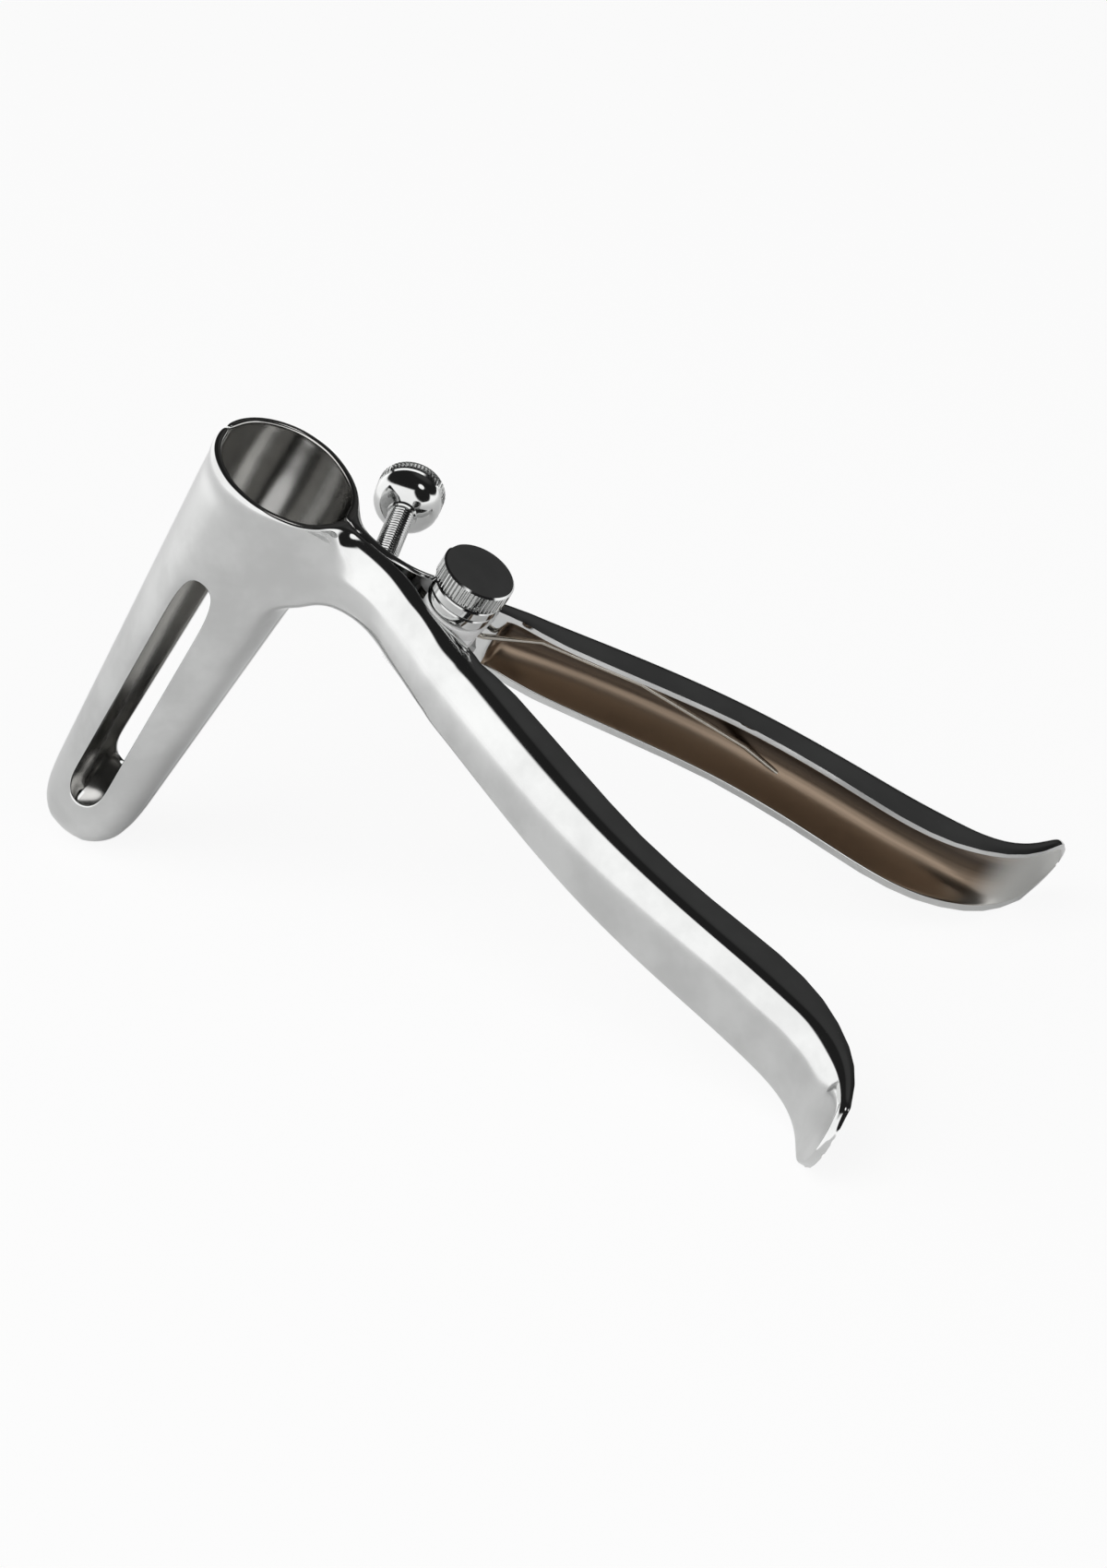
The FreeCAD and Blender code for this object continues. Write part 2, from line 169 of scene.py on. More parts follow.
class Shader:

    def __init__(self, tree):
        self.tree = tree
        self.tree.nodes.clear()

    # A socket is named by its label with _ for a blank, or by n and its number
    def node(self, kind, settings=None, output=0, **values):
        made = self.tree.nodes.new("ShaderNode" + kind)
        for name, value in (settings or {}).items():
            if name == "stops":
                self.setStops(made.color_ramp, value)
            else:
                setattr(made, name, value)
        for name, value in values.items():
            numbered = name[0] == "n" and name[1:].isdigit()
            socket = made.inputs[int(name[1:]) if numbered else name.replace("_", " ")]
            if isinstance(value, Shade):
                self.tree.links.new(value.socket, socket)
            else:
                socket.default_value = value
        return Shade(self.tree, made.outputs[output]) if len(made.outputs) else None

    def setStops(self, ramp, stops):
        while len(ramp.elements) < len(stops):
            ramp.elements.new(0.5)
        for element, (position, colour) in zip(ramp.elements, stops):
            element.position = position
            element.color = (*colour, 1)


# Colour of the bare metal, its roughness, and how much noise adds to the roughness
metalLook = {
    "lever": {"colour": (0.66, 0.665, 0.66), "rough": 0.05, "haze": 0.06},
    # The inside of a handle takes its colour, with a painted reflection, from the trough's ramp further down, not from
    # this colour
    "hollow": {"colour": (0.30, 0.245, 0.20), "rough": 0.24, "haze": 0.12},
    # Inside of the tube: a little darker than the outside of the lever, which is painted shade
    "bore": {"colour": (0.58, 0.575, 0.56), "rough": 0.13, "haze": 0.10},
    "screw": {"colour": (0.64, 0.645, 0.64), "rough": 0.06, "haze": 0.05},
    "spring": {"colour": (0.50, 0.47, 0.42), "rough": 0.18, "haze": 0.08},
}
polish = {
    "cloudScale": 60.0,
    "cloudHaze": 0.6,
    "grainScale": 2200.0,
    "grainHaze": 0.4,
    "bumpStrength": 0.02,
    "bumpDistance": 0.00002,
    "dullTone": 0.86,
    "dullEdge": (0.35, 0.68),
}
# Inside of a handle: colours from its upper edge to its lower one, which paint a reflection (light near the top, a
# black band below the middle, dark near the bottom), streaks along it, and a grey tip
troughLookWithPaintedReflection = {
    "stops": (
        (0.0, (0.50, 0.43, 0.36)), (0.30, (0.40, 0.335, 0.28)), (0.47, (0.07, 0.055, 0.045)),
        (0.56, (0.10, 0.075, 0.055)), (0.68, (0.30, 0.23, 0.17)), (1.0, (0.22, 0.17, 0.125)),
    ),
    "streaksAcross": 26.0,
    "streaksAlong": 3.0,
    "streakShift": 0.07,
    "tipColour": (0.60, 0.60, 0.58),
    "tipEdge": (0.90, 0.97),
}


def troughColourWithPaintedReflection(shader):
    look = troughLookWithPaintedReflection
    across = shader.node("Attribute", {"attribute_name": "across"}, output=2)
    along = shader.node("Attribute", {"attribute_name": "along"}, output=2)
    spot = shader.node("CombineXYZ", X=across * look["streaksAcross"], Y=along * look["streaksAlong"])
    streaks = shader.node("TexNoise", {"noise_dimensions": "2D"}, Scale=1.0, Detail=3.0, Vector=spot)
    # Painted reflection: the ramp lightens the trough near its upper edge and blackens a band below its middle
    brownAndPaintedReflection = shader.node("ValToRGB", {"stops": look["stops"]}, n0=across + (streaks - 0.5) * look["streakShift"])
    return shader.node("Mix", {"data_type": "RGBA"}, output=2, n0=along.between(*look["tipEdge"]),
                       n6=brownAndPaintedReflection, n7=(*look["tipColour"], 1))


def cloudedColour(shader, colour, cloud):
    dull = [channel * polish["dullTone"] for channel in colour]
    return shader.node("Mix", {"data_type": "RGBA"}, output=2, n0=cloud.between(*polish["dullEdge"]),
                       n6=(*dull, 1), n7=(*colour, 1))


def polishedMetal(name):
    look = metalLook[name]
    material = bpy.data.materials.new(name + "Metal")
    material.use_nodes = True
    shader = Shader(material.node_tree)
    here = shader.node("TexCoord", output="Object")
    cloud = shader.node("TexNoise", Vector=here, Scale=polish["cloudScale"], Detail=4.0, Roughness=0.6)
    grain = shader.node("TexNoise", Vector=here, Scale=polish["grainScale"], Detail=2.0)
    roughness = (look["rough"] + cloud * look["haze"] * polish["cloudHaze"]
                 + grain * look["haze"] * polish["grainHaze"])
    bump = shader.node("Bump", Height=grain, Strength=polish["bumpStrength"], Distance=polish["bumpDistance"])
    colour = troughColourWithPaintedReflection(shader) if name == "hollow" else cloudedColour(shader, look["colour"], cloud)
    surface = shader.node("BsdfPrincipled", Base_Color=colour, Metallic=1.0, Roughness=roughness, Normal=bump)
    shader.node("OutputMaterial", Surface=surface)
    return material


metals = {name: polishedMetal(name) for name in metalLook}
print("materials made")


# Rows run down from the mouth, and the arm grows out of the first ones.
# Turns are degrees round the tube, from the arm to the far side, and round the dome.
blade = {
    "axis": -40.7,
    "radius": 15.2,
    "wall": 1.3,
    "taper": 3.3,
    "length": 100.5,
    "seamGap": 0.05,
    "window": 8.0,
    "windowTop": -23.0,
    "windowBottom": -87.5,
    "cornerWidth": 0.72,  # share of the window's width at its two ends
    "cornerDepth": 0.29,  # how far its corners are pulled in, as a share of half its width
    "armRows": [0.0, -1.6, -4.2, -7.2, -10.4, -13.8, -17.0, -20.0, -23.0],
    "lowerRows": [-30.0, -38.0, -48.0, -59.0, -70.0, -78.5, -83.5, -87.5],
    "domeTurns": [20, 42, 66, 90],
    "armTurns": [0, 17, 34],
    "sideTurn": 52,
    "backTurns": [132, 148, 164, 180],
    "lip": {0.0: 0.0, -1.6: 0.3, -4.2: -0.15},  # how far each row stands out from the taper
    "lipInside": 0.55,
    "lipOutside": 0.30,
}
lastRow = len(blade["armRows"]) - 1
lastColumn = len(blade["armTurns"]) - 1
middleRow = lastRow // 2
windowColumns = (4, 6)

# Sections of the arm: X and Y of the inner edge, heading, thickness, top, bottom, shoulder, lean of the face,
# how far the top falls to the seam, and how far the trough is sunk, from 0 to 1
armSections = [
    (-24.9, 0.05, 0, 7.1, -0.4, -21.2, 5.2, 1.2, 0.3, 0),
    (-22.7, 0.05, 0, 6.0, -0.6, -18.7, 6.0, 1.3, 0.5, 0),
    (-20.0, 0.05, 0, 5.3, -0.8, -17.1, 6.4, 1.2, 0.6, 0),
    (-16.4, 0.05, 1, 5.0, -0.8, -16.2, 6.4, 1.1, 0.7, 0),
    (-12.0, 0.7, 9, 4.8, -0.7, -15.7, 6.0, 1.0, 0.7, 0),
    (-8.2, 2.2, 15, 4.6, -0.6, -15.4, 5.4, 1.0, 0.6, 0),
    (-5.6, 4.0, 19, 4.1, -0.5, -15.2, 5.0, 1.0, 0.5, 0),
    (-3.2, 5.65, 22, 3.6, -0.4, -15.1, 4.6, 1.0, 0.4, 0),
    (0.0, 6.55, 23, 4.3, -0.3, -14.9, 4.2, 1.2, 0.4, 0),
    (3.4, 6.6, 21, 5.7, -0.2, -14.8, 3.9, 1.5, 0.3, 0),
    (6.4, 7.4, 18, 6.4, -0.1, -14.7, 3.6, 1.8, 0.3, 0),
    (8.3, 8.2, 16, 6.5, 0.0, -14.6, 3.4, 2.0, 0.3, 0),
    (9.2, 8.5, 16, 6.6, 0.0, -14.6, 3.3, 2.1, 0.3, 1),
]
# Stations of the handle: share of its length, share of its spread, heading, share of its depth
handle = {
    "length": 116.4,
    "spread": 58.5,
    "depth": 9.2,
    "wall": 1.5,
    "rootHeight": 14.4,
    "rootMiddle": -7.9,
    "tipHeight": 17.0,
    "rise": 6.1,
    "shoulder": 3.1,
    "lean": 2.3,
    "fall": 0.3,
    "stations": [
        (0.095, 0.160, 14.0, 0.72),
        (0.172, 0.191, 17.0, 0.92),
        (0.326, 0.308, 22.0, 1.00),
        (0.472, 0.410, 15.0, 1.00),
        (0.619, 0.465, 7.0, 1.05),
        (0.756, 0.494, 10.0, 1.12),
        (0.851, 0.552, 27.0, 1.03),
        (0.928, 0.670, 47.0, 0.65),
        (0.971, 0.809, 64.0, 0.35),
        (1.000, 1.000, 78.0, 0.175),
    ],
    "tongueRadius": 8.5,
    "tongueSteps": (0.98, 0.72, 0.45, 0.22, 0.07, 0.0),  # shares of the radius that are left to the tip
    "tongueBlunt": 0.6,
}
# Shares of a section's height and depth, from its edge to its middle
sectionShape = {
    "troughDepths": (0, 0, 0.62, 0.93, 1),
    "troughLevels": (0.80, 0.42),
    "innerLevels": (1, 0.8, 0.5, 0.25, 0),
    "coreLevels": (1, 0.78, 0.5, 0.25, 0),
    "coreDepth": 0.6,
    "widestShoulder": 0.72,
    "thickestWall": 0.9,
    "underShoulder": 0.65,
    "underLean": 0.2,
}
# What each finish covers, by X, and how sharp the edges stay under the subdivision
leverFinish = {
    "metals": ("lever", "hollow", "bore"),
    "boreEnd": -26.0,
    "troughStart": 8.2,
    "creaseStart": -9.0,
    "bladeCrease": 0.9,
    "armCrease": 0.6,
    "troughCrease": 0.55,
}


def curveThrough(points, steps):
    path = []
    last = len(points) - 1
    for index in range(last):
        before, start = points[max(index - 1, 0)], points[index]
        end, after = points[index + 1], points[min(index + 2, last)]
        for step in range(steps):
            t = step / steps
            path.append([
                0.5 * (2 * b + (c - a) * t + (2 * a - 5 * b + 4 * c - d) * t * t + (3 * b - a - 3 * c + d) * t ** 3)
                for a, b, c, d in zip(before, start, end, after)])
    path.append(list(points[-1]))
    return path


def handleSections():
    size = handle
    sections = []
    for along, out, heading, deep in curveThrough(size["stations"], 2):
        height = size["rootHeight"] + (size["tipHeight"] - size["rootHeight"]) * along
        middle = size["rootMiddle"] + size["rise"] * along
        depth = size["depth"] * deep
        sections.append([
            size["length"] * along, size["spread"] * out, heading, depth, middle + height / 2, middle - height / 2,
            min(size["shoulder"], depth * 0.45), min(size["lean"], depth * 0.3), size["fall"], 1.0])
    tip = sections.pop()
    before = sections[-1]
    reach = math.hypot(tip[0] - before[0], tip[1] - before[1])
    radius = size["tongueRadius"]
    for step in size["tongueSteps"]:
        left = radius * step
        share = 1 - left / reach
        if share < 0.05:  # still on or before the last section
            continue
        half = math.sqrt(max(radius ** 2 - (radius - left) ** 2, size["tongueBlunt"]))
        section = [b + (t - b) * share for b, t in zip(before, tip)]
        middle = (tip[4] + tip[5]) / 2
        section[4], section[5] = middle + half, middle - half
        sections.append(section)
    return sections


# Columns of a section run from its inner side, over its edge, to its outer face
def sectionPoint(section, row, column):
    x, y, heading, depth, top, bottom, shoulder, lean, fall, sunk = section
    shape = sectionShape
    half = (top - bottom) / 2
    middle = (top + bottom) / 2
    upper = row <= middleRow
    step = row if upper else lastRow - row
    if not upper:
        shoulder, lean, fall = shoulder * shape["underShoulder"], lean * shape["underLean"], 0.0
    thin = min(handle["wall"], depth * shape["thickestWall"])
    wall = min(thin, half * 0.4)
    shoulder = min(shoulder, half * 0.8)
    fall = min(fall, half * 0.4)
    across = min(shoulder, depth * shape["widestShoulder"])
    if column == 0:
        deep = (depth - thin) * sunk * shape["troughDepths"][step]
        inside = half - wall
        hollow = (half - fall, inside, *(inside * level for level in shape["troughLevels"]), 0)[step]
        plain = (half - fall) * shape["innerLevels"][step]
        level = plain + (hollow - plain) * sunk
    elif column == lastColumn:
        deep = depth - (across, across * 0.28 + lean * 0.55, lean * 0.34, lean * 0.08, 0)[step]
        level = (half - fall * 0.4, half - shoulder * 0.30, half - shoulder * 0.98, (half - shoulder) * 0.5, 0)[step]
    else:
        deep = (depth - across) * 0.5 if step == 0 else depth * shape["coreDepth"]
        level = half * shape["coreLevels"][step]
    level = middle + level if upper else middle - level
    turn = math.radians(heading)
    return Vector((x - deep * math.sin(turn), y + deep * math.cos(turn), level))


def bladeRings():
    size = blade
    taper = math.radians(size["taper"])
    rings = [
        (z, size["radius"] + z * math.tan(taper) + size["lip"].get(z, 0)) for z in size["armRows"] + size["lowerRows"]]
    domeRadius = (size["radius"] * math.cos(taper) - size["length"] * math.sin(taper)) / (1 - math.sin(taper))
    domeMiddle = domeRadius - size["length"]
    for turn in size["domeTurns"]:
        angle = math.radians(turn)
        rings.append((domeMiddle - domeRadius * math.sin(angle), domeRadius * math.cos(angle)))
    return rings


def columnTurns(radius):
    half = blade["window"] / 2
    edge = 90 - math.degrees(math.acos(min(half / max(radius, half * 1.4), 1)))
    return (blade["armTurns"] + [blade["sideTurn"], 90 - edge, 90, 90 + edge, 110 + edge * 0.4]
            + blade["backTurns"])


def makeBlade():
    size = blade
    rings = bladeRings()
    windowRows = [index for index, (z, r) in enumerate(rings) if size["windowBottom"] <= z <= size["windowTop"]]
    topRow, bottomRow = windowRows[0], windowRows[-1]
    columnCount = len(columnTurns(size["radius"]))
    bpy.ops.mesh.primitive_grid_add(x_subdivisions=columnCount - 1, y_subdivisions=len(rings) - 1, size=1)
    piece = bpy.context.object
    mesh = edit(piece)
    rowMark = mesh.verts.layers.int.new("row")
    columnMark = mesh.verts.layers.int.new("column")
    mesh.verts.ensure_lookup_table()
    for index, vertex in enumerate(mesh.verts):
        row, column = divmod(index, columnCount)
        z, radius = rings[row]
        angle = math.radians(columnTurns(radius)[column])
        across = radius * math.cos(angle)
        out = radius * math.sin(angle)
        if column in windowColumns and row in (topRow, bottomRow):
            across *= size["cornerWidth"]
            out = math.sqrt(radius ** 2 - across ** 2)
            z += size["window"] / 2 * (-size["cornerDepth"] if row == topRow else size["cornerDepth"])
        vertex.co = (size["axis"] + across, size["seamGap"] + out, z)
        vertex[rowMark] = row
        vertex[columnMark] = column
    bpy.ops.mesh.select_all(action="DESELECT")
    bpy.ops.mesh.select_mode(type="FACE")
    for face in mesh.faces:
        rows = [vertex[rowMark] for vertex in face.verts]
        columns = [vertex[columnMark] for vertex in face.verts]
        inWindow = min(columns) >= windowColumns[0] and max(columns) <= windowColumns[1]
        face.select_set(inWindow and min(rows) >= topRow and max(rows) <= bottomRow)
    bpy.ops.mesh.delete(type="FACE")
    closeEdit(piece)
    cleanShell(piece, 0.01)
    modify(piece, "SOLIDIFY", thickness=size["wall"], offset=-1)
    roundLip(piece)
    return piece


def roundLip(piece):
    size = blade
    mesh = edit(piece)
    rowMark = marks(mesh)[0]
    for vertex in mesh.verts:
        reach = math.hypot(vertex.co.x - size["axis"], vertex.co.y)
        inside = reach < size["radius"] - size["wall"] * 0.6
        if vertex[rowMark] == 0 or (inside and vertex[rowMark] == 1):
            grow = 1 - size["lipInside" if inside else "lipOutside"] / reach
            vertex.co.x = size["axis"] + (vertex.co.x - size["axis"]) * grow
            vertex.co.y = size["seamGap"] + (vertex.co.y - size["seamGap"]) * grow
    closeEdit(piece)


def marks(mesh):
    return mesh.verts.layers.int["row"], mesh.verts.layers.int["column"]


# Above 0 where a face looks away from the tube's axis
def outwardness(face):
    middle = face.calc_center_median()
    return face.normal.x * (middle.x - blade["axis"]) + face.normal.y * middle.y


def growArm(piece):
    mesh = edit(piece, "FACE")
    rowMark, columnMark = marks(mesh)
    bpy.ops.mesh.select_all(action="DESELECT")
    for face in mesh.faces:
        fromRoot = all(v[rowMark] <= lastRow and v[columnMark] <= lastColumn for v in face.verts)
        face.select_set(fromRoot and outwardness(face) > 0.5 and len(face.verts) == 4 and face.calc_area() > 1)
    for section in armSections + handleSections():
        bpy.ops.mesh.extrude_region_move()
        mesh = bmesh.from_edit_mesh(piece.data)
        rowMark, columnMark = marks(mesh)
        for vertex in mesh.verts:
            if vertex.select:
                vertex.co = sectionPoint(section, vertex[rowMark], vertex[columnMark])
    closeEdit(piece)


def finishFaces(piece):
    size = leverFinish
    for metal in size["metals"]:
        piece.data.materials.append(metals[metal])
    mesh = edit(piece, "FACE")
    rowMark, columnMark = marks(mesh)
    for face in mesh.faces:
        x = face.calc_center_median().x
        if x < size["boreEnd"] and outwardness(face) < -1:
            face.material_index = size["metals"].index("bore")
        rows = [vertex[rowMark] for vertex in face.verts]
        inTrough = x > size["troughStart"] and all(vertex[columnMark] == 0 for vertex in face.verts)
        if inTrough and min(rows) >= 1 and max(rows) <= lastRow - 1:
            face.material_index = size["metals"].index("hollow")
    # The material of the trough reads these two: across places its painted reflection bands, along its grey tip, and
    # both place the streaks
    acrossMark = mesh.verts.layers.float.new("across")
    alongMark = mesh.verts.layers.float.new("along")
    for vertex in mesh.verts:
        vertex[acrossMark] = vertex[rowMark] / lastRow
        vertex[alongMark] = vertex.co.x / handle["length"]
    closeEdit(piece)


def creaseLever(piece):
    size = leverFinish
    mesh = edit(piece, "EDGE")
    rowMark, columnMark = marks(mesh)
    crease = mesh.edges.layers.float.get("crease_edge") or mesh.edges.layers.float.new("crease_edge")

    def onSeam(item):
        return all(abs(vertex.co.y - blade["seamGap"]) < 0.02 for vertex in item.verts)

    for edge in mesh.edges:
        flat = [onSeam(face) for face in edge.link_faces]
        if onSeam(edge) and any(flat) and not all(flat):
            edge[crease] = size["bladeCrease" if edge.verts[0].co.x < size["boreEnd"] else "armCrease"]
        rows = {vertex[rowMark] for vertex in edge.verts}
        columns = {vertex[columnMark] for vertex in edge.verts}
        beyond = all(vertex.co.x > size["creaseStart"] for vertex in edge.verts)
        if beyond and columns == {0} and len(rows) == 1 and rows <= {0, 1, lastRow - 1, lastRow}:
            edge[crease] = size["troughCrease"]
    closeEdit(piece)


lugs = {
    "radius": 6.1,
    "height": 2.3,
    "neck": 8.6,
    "neckSlope": 0.35,
    "bevel": 0.25,
    "tops": {far: (-0.7, -10.45), near: (-3.05, -12.8)},
}


def makeLug(top):
    size = lugs
    bpy.ops.mesh.primitive_cylinder_add(
        vertices=96, radius=size["radius"], depth=size["height"], location=(0, 0, top - size["height"] / 2))
    piece = bpy.context.object
    only(piece)
    bpy.ops.object.transform_apply(location=True, rotation=True, scale=True)
    mesh = edit(piece)
    for vertex in mesh.verts:
        if vertex.co.y > 0.01:
            vertex.co.y = size["neck"] + (vertex.co.x * size["neckSlope"])
    closeEdit(piece)
    modify(piece, "BEVEL", width=size["bevel"], segments=2, limit_method="ANGLE")
    smooth(piece, 35)
    return piece


def mirror(piece):
    mesh = edit(piece)
    for vertex in mesh.verts:
        vertex.co.y = -vertex.co.y
    bmesh.update_edit_mesh(piece.data)
    bpy.ops.mesh.select_all(action="SELECT")
    bpy.ops.mesh.flip_normals()
    closeEdit(piece)


def makeLever(name, node, side):
    piece = makeBlade()
    growArm(piece)
    creaseLever(piece)
    finishFaces(piece)
    modify(piece, "SUBSURF", levels=3, render_levels=3)
    smooth(piece, 50)
    piece = joined([piece] + [makeLug(top) for top in lugs["tops"][side]])
    if side == near:
        mirror(piece)
    place(piece, name, node, [metals["lever"]], [node])


makeLever("farLever", "far_lever", far)
makeLever("nearLever", "near_lever", near)


def outline(corners):
    bpy.ops.mesh.primitive_plane_add(size=1)
    piece = bpy.context.object
    edit(piece)
    bpy.ops.mesh.select_all(action="SELECT")
    bpy.ops.mesh.delete(type="VERT")
    mesh = bmesh.from_edit_mesh(piece.data)
    drawn = [mesh.verts.new((r, 0, z)) for r, z in corners]
    for start, end in zip(drawn, drawn[1:]):
        mesh.edges.new((start, end))
    closeEdit(piece)
    return piece


def turnedPiece(profile, steps):
    piece = outline(profile)
    edit(piece)
    bpy.ops.mesh.select_all(action="SELECT")
    bpy.ops.mesh.spin(steps=steps, angle=math.tau, center=(0, 0, 0), axis=(0, 0, 1))
    bpy.ops.mesh.select_all(action="SELECT")
    bpy.ops.mesh.remove_doubles(threshold=0.001)
    bpy.ops.mesh.normals_make_consistent(inside=False)
    closeEdit(piece)
    return piece


toothSteps = 4  # steps of the spin to a tooth, of which two are cut down


def knurl(piece, low, high, radius, teeth, depth):
    mesh = edit(piece)
    for vertex in mesh.verts:
        reach = math.hypot(vertex.co.x, vertex.co.y)
        if low - 0.01 <= vertex.co.z <= high + 0.01 and reach > radius - 0.02:
            turn = math.atan2(vertex.co.y, vertex.co.x) % math.tau
            if round(turn / math.tau * teeth * toothSteps) % toothSteps >= 2:
                vertex.co.x *= 1 - depth / reach
                vertex.co.y *= 1 - depth / reach
    closeEdit(piece)


# Radii, and heights along the pivot
pivotScrewSize = {
    "pin": 2.5,
    "pinEnd": -15.5,
    "collar": 6.45,
    "collarBase": -0.65,
    "ring": 6.7,
    "groove": 5.95,
    "split": 2.45,
    "headBase": 5.1,
    "head": 7.2,
    "headTop": 9.35,
    "teeth": 54,
    "knurlDepth": 0.55,
}


def makePivotScrew():
    size = pivotScrewSize
    head, top, base, split = size["head"], size["headTop"], size["headBase"], size["split"]
    collar, ring, groove = size["collar"], size["ring"], size["groove"]
    profile = [
        (0, size["pinEnd"]), (size["pin"] - 0.4, size["pinEnd"]), (size["pin"], size["pinEnd"] + 0.4),
        (size["pin"], size["collarBase"]), (collar - 1.5, size["collarBase"]), (collar - 0.7, -0.45),
        (collar - 0.2, 0.0), (collar, 0.6), (collar, split - 0.4), (collar - 0.2, split - 0.15),
        (groove, split - 0.08), (groove, split + 0.08), (ring - 0.25, split + 0.15), (ring, split + 0.4),
        (ring, base - 0.75), (ring - 0.2, base - 0.5), (groove, base - 0.42), (groove, base - 0.1),
        (head - 0.5, base), (head, base + 0.4), (head, base + 0.45), (head, top - 0.4), (head, top - 0.35),
        (head - 0.35, top), (head - 0.8, top), (0, top)]
    piece = turnedPiece(profile, size["teeth"] * toothSteps)
    knurl(piece, base + 0.42, top - 0.37, head, size["teeth"], size["knurlDepth"])
    smooth(piece, 22)
    place(piece, "pivotScrew", "pivot_screw", [metals["screw"]], ["pivot_screw"])


# The axis turns from across the arm by the angle. Heights run along it, outwards.
setScrewSize = {
    "angle": 16.0,
    "reach": -16.2,
    "level": -6.0,
    "rod": 2.5,
    "pitch": 0.8,
    "threadDepth": 0.42,
    "tip": 0.2,
    "seat": 20.6,
    "belly": 25.8,
    "rim": 26.9,
    "rimHeight": 2.9,
    "head": 6.6,
    "crown": 0.7,
    "teeth": 54,
    "knurlDepth": 0.5,
}


def alongSetScrew(piece):
    size = setScrewSize
    turn = Matrix.Translation((size["reach"], blade["seamGap"], size["level"]))
    turn = turn @ Matrix.Rotation(math.radians(size["angle"]), 4, "Z") @ Matrix.Rotation(math.radians(-90), 4, "X")
    piece.data.transform(turn)


def makeSetScrewHead():
    size = setScrewSize
    head, rim, seat, belly, neck = size["head"], size["rim"], size["seat"], size["belly"], size["rod"] + 0.4
    top = rim + size["rimHeight"]
    crown = size["crown"]
    profile = [(0, seat - 0.4), (neck - 0.3, seat - 0.4), (neck, seat - 0.2), (neck + 0.1, seat + 0.3)]
    for turn in range(24, 91, 11):
        angle = math.radians(turn)
        profile.append((head * 0.99 * math.sin(angle), belly - (belly - seat) * math.cos(angle)))
    profile += [
        (head * 0.985, rim - 0.35), (head - 0.35, rim - 0.15), (head - 0.3, rim), (head, rim + 0.25),
        (head, rim + 0.3), (head, top - 0.35), (head, top - 0.3), (head - 0.35, top),
        (head * 0.7, top + crown * 0.75), (head * 0.4, top + crown * 0.95), (0, top + crown)]
    piece = turnedPiece(profile, size["teeth"] * toothSteps)
    knurl(piece, rim + 0.27, top - 0.32, head, size["teeth"], size["knurlDepth"])
    alongSetScrew(piece)
    smooth(piece, 22)
    place(piece, "setScrewHead", "set_screw", [metals["screw"]], ["set_screw_head"])


def makeSetScrewRod():
    size = setScrewSize
    crest, root = size["rod"], size["rod"] - size["threadDepth"]
    pitch, tip, seat = size["pitch"], size["tip"], size["seat"]
    turns = int((seat - tip - 2.0) / pitch)
    start = tip + 1.2
    ridge = ((root, 0), (crest - 0.04, 0.36), (crest, 0.44), (crest, 0.56), (crest - 0.04, 0.64), (root, 1))
    thread = outline([(r, start + h * pitch) for r, h in ridge])
    modify(thread, "SCREW", axis="Z", angle=math.tau, screw_offset=pitch, iterations=turns + 1, steps=48,
           render_steps=48, use_merge_vertices=True, merge_threshold=0.001)
    core = turnedPiece([
        (0, tip), (0.5, tip), (root - 0.5, tip + 0.6), (root + 0.01, tip + 1.6),
        (root + 0.01, seat + 1.0), (0, seat + 1.0)], 48)
    piece = joined([core, thread])
    alongSetScrew(piece)
    smooth(piece, 35)
    place(piece, "setScrewRod", "set_screw", [metals["screw"]], ["set_screw_rod"])


makePivotScrew()
makeSetScrewHead()
makeSetScrewRod()


springSize = {
    "wire": 0.55,
    "coil": 3.7,
    "pitch": 1.25,
    "turns": 2.5,
    "middle": -7.9,
    "lead": 7.1,
    "bend": 2.5,
    "clearance": 0.25,
    # Along each trough: share of the handle's length, and height above or below the middle
    "legs": ((0.13, 3.4), (0.19, 3.9), (0.31, 3.3), (0.43, 3.15), (0.50, 2.9), (0.56, -0.1)),
}
turnSteps, bendSteps = 48, 6


def webPoint(side, share, level):
    stations = handle["stations"]
    after = [index for index, station in enumerate(stations) if station[0] >= share][0]
    low, high = stations[after - 1], stations[after]
    mix = (share - low[0]) / (high[0] - low[0])
    out, heading, deep = [low[item] + (high[item] - low[item]) * mix for item in (1, 2, 3)]
    depth = handle["depth"] * deep - handle["wall"] - springSize["wire"] - springSize["clearance"]
    turn = math.radians(heading)
    return Vector((handle["length"] * share - depth * math.sin(turn),
                   side * (handle["spread"] * out + depth * math.cos(turn)), level))


def springLeg(side, end, slope):
    size = springSize
    entry = end + Vector((1, 0, side * slope)).normalized() * size["lead"]
    return [end, entry] + [
        webPoint(side, share, size["middle"] + side * above) for share, above in size["legs"]]


def roundedPath(points, radius):
    path = [points[0]]
    for before, corner, after in zip(points, points[1:], points[2:]):
        inward = (before - corner).normalized()
        onward = (after - corner).normalized()
        turn = math.pi - inward.angle(onward)
        reach = radius * math.tan(turn / 2)
        centre = corner + (inward + onward).normalized() * (radius / math.cos(turn / 2))
        first = corner + inward * reach - centre
        last = corner + onward * reach - centre
        for step in range(bendSteps + 1):
            path.append(centre + first.slerp(last, step / bendSteps, first) if turn > 0.001 else corner)
    path.append(points[-1])
    return path


def wire(name, path, body):
    curve = bpy.data.curves.new(name, "CURVE")
    curve.dimensions = "3D"
    curve.bevel_depth = springSize["wire"]
    curve.bevel_resolution = 6
    curve.use_fill_caps = True
    spline = curve.splines.new("POLY")
    spline.points.add(len(path) - 1)
    for point, spot in zip(spline.points, path):
        point.co = (*spot, 1)
    piece = bpy.data.objects.new(name, curve)
    bpy.context.scene.collection.objects.link(piece)
    only(piece)
    bpy.ops.object.convert(target="MESH")
    piece = bpy.context.object
    smooth(piece, 40)
    place(piece, name, body, [metals["spring"]], ["return_spring"])


